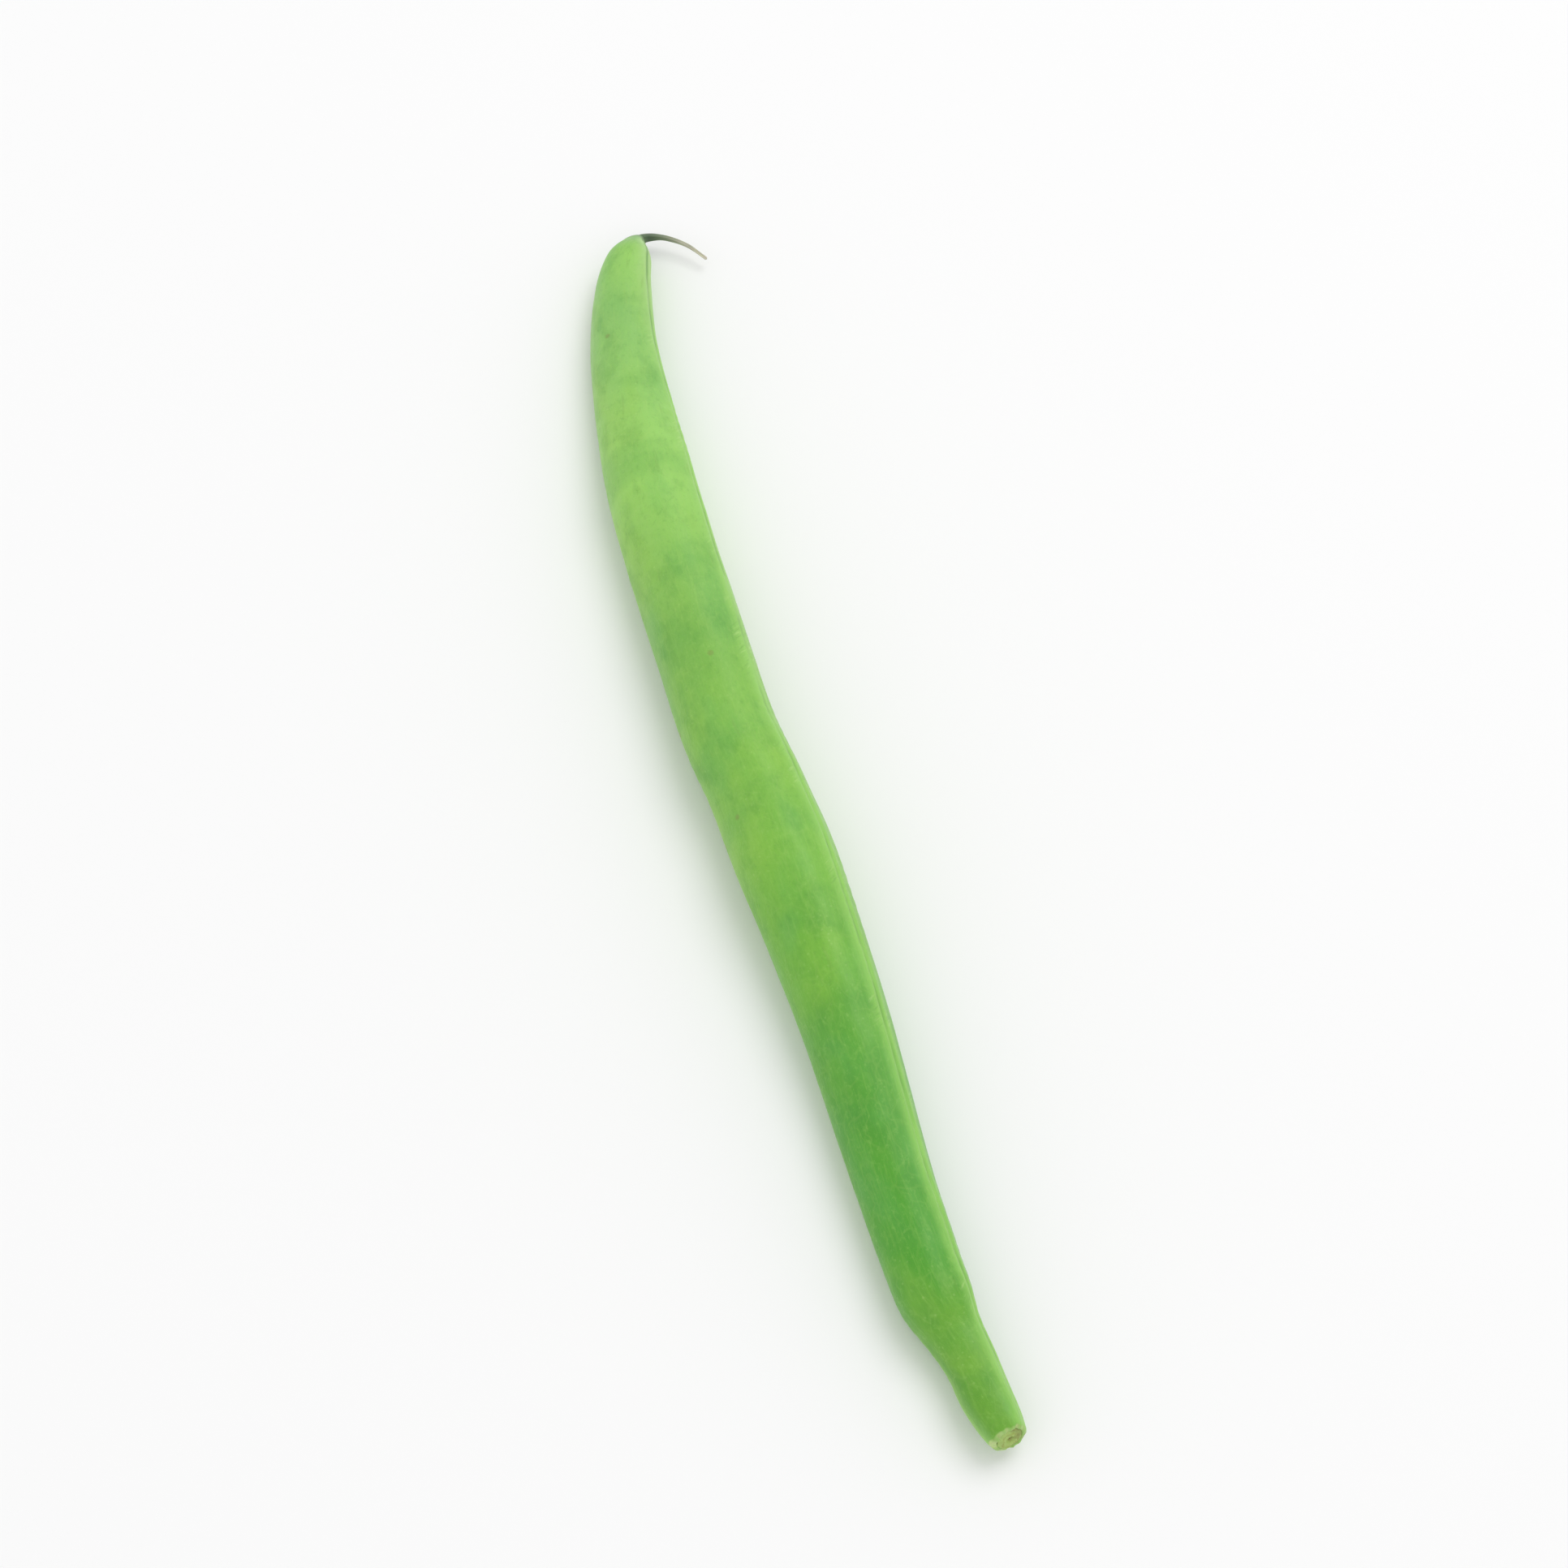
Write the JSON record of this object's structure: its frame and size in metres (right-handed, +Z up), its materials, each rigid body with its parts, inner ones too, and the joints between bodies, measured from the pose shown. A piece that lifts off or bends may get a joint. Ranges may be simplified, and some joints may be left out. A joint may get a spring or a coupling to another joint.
{
  "type": "green bean",
  "caption": "Fresh green bean pod lying on its side: slim, gently S-curved, with low seams, a tapered neck with a dried stalk end, and a hooked dry thread at its beak.",
  "frame": {"origin": "under the middle of the bean's box, on the surface that it lies on", "axes": "+Z up from the surface, +Y along the pod from the stalk end to the beak, +X to the side that the dried thread hooks towards"},
  "size_m": [0.015, 0.1198, 0.0086],
  "materials": {
    "pod": "satin, fresh green skin",
    "stem_end": "matt, dry and fibrous"
  },
  "bodies": {
    "root": {"pod": "pod", "stem_end": "stem_end"}
  },
  "joints": []
}
